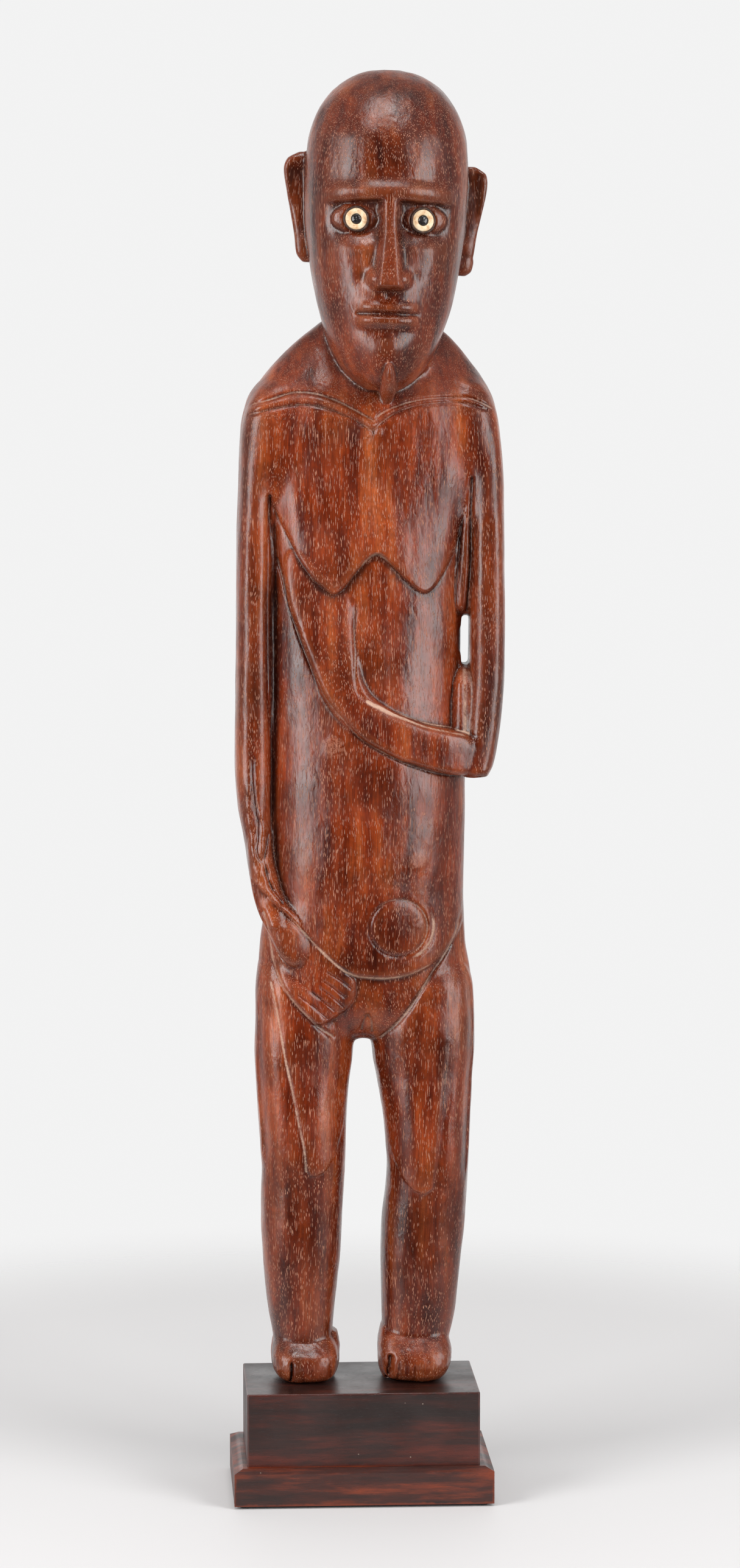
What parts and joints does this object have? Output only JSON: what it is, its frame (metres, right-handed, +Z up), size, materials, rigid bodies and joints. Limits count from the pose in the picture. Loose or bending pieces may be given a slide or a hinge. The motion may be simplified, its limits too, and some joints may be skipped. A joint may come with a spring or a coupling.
{
  "type": "carved ancestor figure",
  "caption": "Standing carved hardwood figure with inlaid ring eyes, slab ears and one arm across the waist, pinned upright on a dark block and plinth.",
  "frame": {"origin": "centre of the felt's underside, on the surface the base stands on", "axes": "+Z up, the figure faces -Y, and its own left side is towards +X"},
  "size_m": [0.1134, 0.0828, 0.5908],
  "materials": {
    "carved_wood": "satin",
    "pitch": "matte",
    "bone": "satin",
    "obsidian": "polished",
    "block_wood": "satin",
    "plinth_wood": "satin",
    "felt": "matte",
    "pin_steel": "satin",
    "screw_brass": "satin"
  },
  "bodies": {
    "base": {"base_block": "block_wood", "base_plinth": "plinth_wood", "felt_sheet": "felt", "mount_pin_right": "pin_steel", "mount_pin_left": "pin_steel", "base_screw_right": "screw_brass", "base_screw_left": "screw_brass"},
    "figure": {"figure": "carved_wood", "eye_pitch_right": "pitch", "eye_pitch_left": "pitch", "eye_ring_right": "bone", "eye_ring_left": "bone", "eye_pupil_right": "obsidian", "eye_pupil_left": "obsidian"}
  },
  "joints": [
    {"name": "figure_lift", "type": "slide", "parent": "base", "child": "figure", "axis": [0, 0, 1], "range_m": [0, 0.05]}
  ]
}
